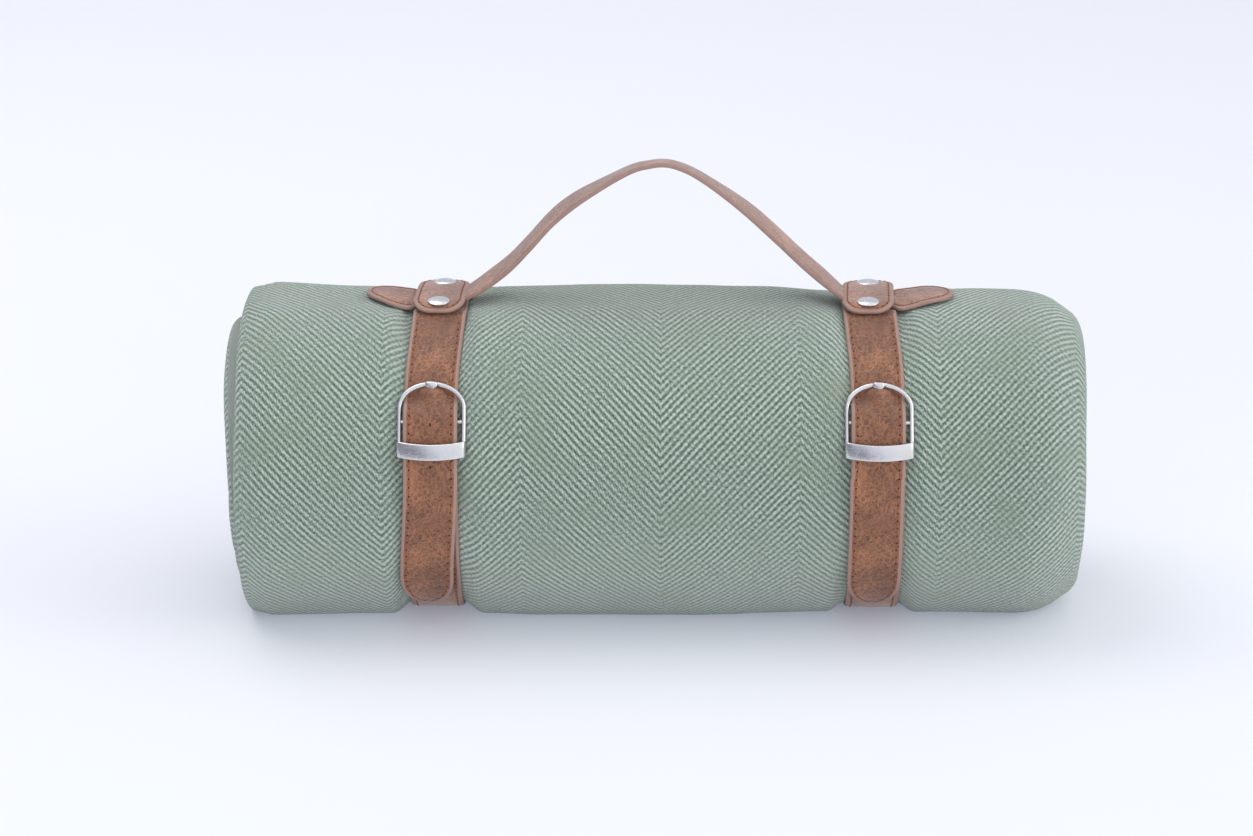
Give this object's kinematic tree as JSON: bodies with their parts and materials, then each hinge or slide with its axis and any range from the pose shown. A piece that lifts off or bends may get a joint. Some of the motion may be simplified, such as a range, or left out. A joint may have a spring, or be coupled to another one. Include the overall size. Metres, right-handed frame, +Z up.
{
  "type": "rolled picnic blanket in strap carrier",
  "caption": "Herringbone picnic blanket rolled up in a leather strap carrier with buckles and a sliding carry handle.",
  "frame": {"origin": "middle of the footprint, on the surface the roll lies on", "axes": "+X along the roll to its right end, +Y to the back, +Z up; the buckles face -Y"},
  "size_m": [0.5, 0.1877, 0.2605],
  "materials": {
    "wool_cloth": "brushed herringbone weave in mint and sage",
    "brown_leather": "worn faux leather, brown with lighter veins, pink-brown painted edges",
    "lining_leather": "plain faux leather backing, painted edge",
    "patch_leather": "plain faux leather patch",
    "nickel": "polished nickel with fine scratches"
  },
  "bodies": {
    "carrier": {"blanket": "wool_cloth", "blanket_patch": "patch_leather", "strap_left_face": "brown_leather", "strap_left_lining": "lining_leather", "loop_left_face": "brown_leather", "loop_left_lining": "lining_leather", "rivet_left_caps": "nickel", "rivet_left_posts": "nickel", "strap_right_face": "brown_leather", "strap_right_lining": "lining_leather", "loop_right_face": "brown_leather", "loop_right_lining": "lining_leather", "rivet_right_caps": "nickel", "rivet_right_posts": "nickel"},
    "handle_grip": {"handle_grip_face": "brown_leather", "handle_grip_lining": "lining_leather"},
    "handle_end_left": {"handle_end_left_face": "brown_leather", "handle_end_left_lining": "lining_leather"},
    "buckle_left": {"buckle_left_frame": "nickel", "buckle_left_pin": "nickel"},
    "prong_left": {"buckle_left_prong": "nickel"},
    "handle_end_right": {"handle_end_right_face": "brown_leather", "handle_end_right_lining": "lining_leather"},
    "buckle_right": {"buckle_right_frame": "nickel", "buckle_right_pin": "nickel"},
    "prong_right": {"buckle_right_prong": "nickel"}
  },
  "joints": [
    {"name": "handle_lift", "type": "slide", "parent": "carrier", "child": "handle_grip", "axis": [0, 0, 1], "range_m": [-0.068, 0], "deforming": ["handle_grip_face", "handle_grip_lining"]},
    {"name": "handle_end_left_slide", "type": "slide", "parent": "handle_grip", "child": "handle_end_left", "axis": [-0.369, 0, 0.9294], "range_m": [0, 0.07316]},
    {"name": "handle_end_right_slide", "type": "slide", "parent": "handle_grip", "child": "handle_end_right", "axis": [0.369, 0, 0.9294], "range_m": [0, 0.07316]},
    {"name": "buckle_left_rock", "type": "hinge", "parent": "carrier", "child": "buckle_left", "pos_m": [-0.1238, -0.07894, 0.13197], "axis": [1, 0, 0], "range_deg": [-1.5, 1.5]},
    {"name": "prong_left_lift", "type": "hinge", "parent": "buckle_left", "child": "prong_left", "pos_m": [-0.1238, -0.07894, 0.13197], "axis": [1, 0, 0], "range_deg": [0, 6]},
    {"name": "buckle_right_rock", "type": "hinge", "parent": "carrier", "child": "buckle_right", "pos_m": [0.1238, -0.07894, 0.13197], "axis": [1, 0, 0], "range_deg": [-1.5, 1.5]},
    {"name": "prong_right_lift", "type": "hinge", "parent": "buckle_right", "child": "prong_right", "pos_m": [0.1238, -0.07894, 0.13197], "axis": [1, 0, 0], "range_deg": [0, 6]}
  ],
  "couplings": [
    {"joint": "handle_end_left_slide", "follows": "handle_lift", "ratio": -1.0759},
    {"joint": "handle_end_right_slide", "follows": "handle_lift", "ratio": -1.0759}
  ]
}
